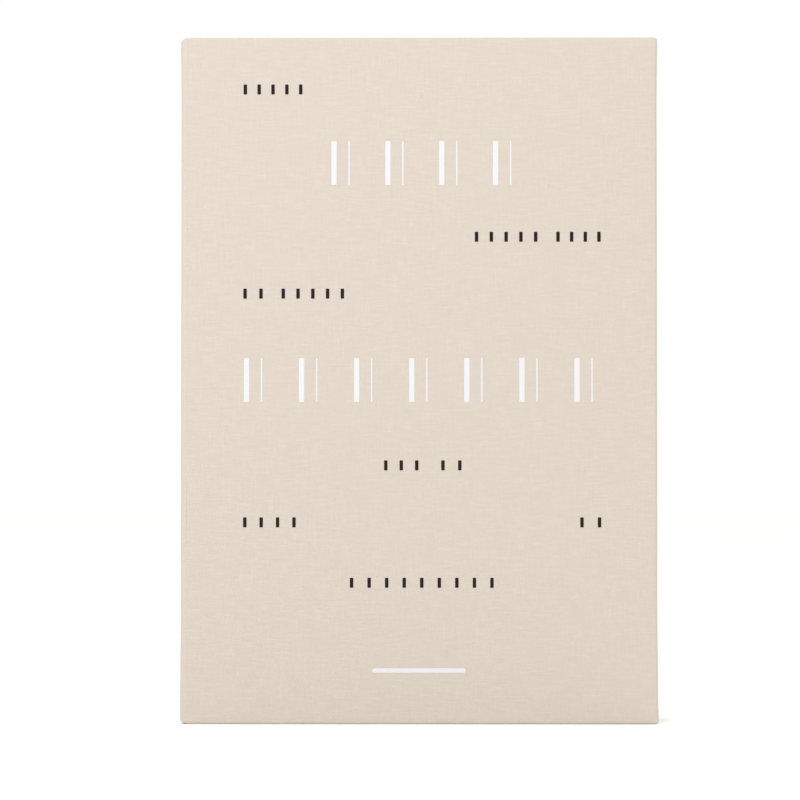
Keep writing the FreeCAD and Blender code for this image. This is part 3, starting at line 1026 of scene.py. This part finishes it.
# ---- Stage ----
def stage():
    """A pale floor under an even white sky."""
    half = 8.0
    points = [(-half, -half, FOOT), (half, -half, FOOT), (half, half, FOOT), (-half, half, FOOT)]
    floor = make_object("floor", points, [(0, 1, 2, 3)])
    paint = Paint("floor", 0.9, specular=0.0)
    paint.colour(rgba(0.975, 0.97, 0.957))
    floor.data.materials.append(paint.material)
    world = bpy.data.worlds.new("studio")
    world.use_nodes = True
    sky = world.node_tree.nodes["Background"]
    sky.inputs["Color"].default_value = rgba(1.0, 1.0, 1.0)
    sky.inputs["Strength"].default_value = 1.03
    scene = bpy.context.scene
    scene.world = world
    scene.view_settings.view_transform = "Standard"
    scene.view_settings.look = "None"


def lamp(name, place, size, power, tint):
    """A square softbox that faces the middle of the object."""
    data = bpy.data.lights.new(name, "AREA")
    data.size = size
    data.energy = power
    data.color = tint
    made = bpy.data.objects.new(name, data)
    made.location = Vector(place)
    aim = Vector((0, 0, (FOOT + HEAD) / 2)) - made.location
    made.rotation_euler = aim.to_track_quat("-Z", "Y").to_euler()
    bpy.context.scene.collection.objects.link(made)


def camera():
    """A long lens, a little below the cover's middle, the object slightly above and right of centre."""
    distance = 1.5
    picture_height = (HEAD - FOOT) / 0.8592       # the object takes this share of the picture's height
    data = bpy.data.cameras.new("camera")
    data.lens = data.sensor_width * distance / picture_height
    data.shift_x, data.shift_y = -0.0235, -0.0250     # shares of the picture's width
    made = bpy.data.objects.new("camera", data)
    aim = Vector(((LEFT + RIGHT) / 2, FRONT, (FOOT + HEAD) / 2))
    below, right = math.radians(1.4), math.radians(0.4)
    away = Vector((math.sin(right), -math.cos(right) * math.cos(below), -math.sin(below)))
    made.location = aim + away.normalized() * distance
    made.rotation_euler = (aim - made.location).to_track_quat("-Z", "Y").to_euler()
    bpy.context.scene.collection.objects.link(made)
    bpy.context.scene.camera = made


# ---- Everything together ----
def case_linen():
    """The book cloth's three pieces, of which the first follows the cover and the second the case."""
    linen = linen_paint()
    front = dress(linen_on_front_cover(), linen)
    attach(front, "front_cover")
    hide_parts("front_cover_cloth")
    rest = dress(linen_on_spine_and_back(), linen)
    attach(rest, "case")
    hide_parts("spine_cloth", "back_cover_cloth")
    joint = dress(linen_on_joint(), linen)
    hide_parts("hinge_cloth")


def papers():
    """Lining of the case and paper of the tray."""
    lining = paper_paint("lining_paper", OFF_WHITE)
    for piece in case_linings():
        dress(piece, lining)
    tray = paper_paint("tray_paper", OFF_WHITE)
    dress(tray_paper(), tray)
    dress_node("tray_floor_lining", tray)


def contents():
    """The folded blanket, its hems and its two pull tapes."""
    glass = glass_cloth_paint()
    blanket = dress(folded_blanket(), glass)
    hems = dress(blanket_hems(), thread_paint("hem_thread", rgba(0.40, 0.39, 0.37)))
    webbing = webbing_paint()
    thread = thread_paint("tape_thread", rgba(0.36, 0.36, 0.37))
    for side in ("left", "right"):
        tape, seam = pull_tape(side)
        dress(tape, webbing)
        dress(seam, thread)


def hard_parts():
    """Materials of the boards, cards, magnets and marks, whose shapes are the CAD model's own."""
    board = board_paint()
    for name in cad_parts:
        if name.endswith(("_board", "_wall", "_rail", "_base")):
            dress_node(name, board)
    card = paper_paint("filler_card", rgba(0.50, 0.47, 0.41), fleck=0.06)
    for name in ("front_filler_card", "spine_filler_card", "back_filler_card"):
        dress_node(name, card)
    dress_node("tray_corner_stays", paper_paint("stay_paper", rgba(0.45, 0.34, 0.22), fleck=0.08))
    nickel = magnet_paint()
    dress_node("cover_magnets", nickel)
    dress_node("tray_magnets", nickel)
    foil = mark_paint("white_foil", FOIL, LINEN, thinned=0.25, gap=0.30, roughness=0.5, specular=0.3)
    ink = mark_paint(
        "black_ink", INK, scaled(LINEN, 0.3), thinned=0.15, gap=0.35, roughness=0.9, specular=0.08
    )
    dress_node("white_foil_marks", foil)
    dress_node("black_ink_marks", ink)


case_linen()
papers()
contents()
hard_parts()
stage()
lamp("key", place=(-0.45, -1.0, 1.15), size=0.8, power=12.0, tint=(0.95, 0.985, 1.11))
lamp("rim", place=(1.4, 1.2, 1.4), size=1.2, power=9.0, tint=(1.0, 1.0, 1.0))
camera()
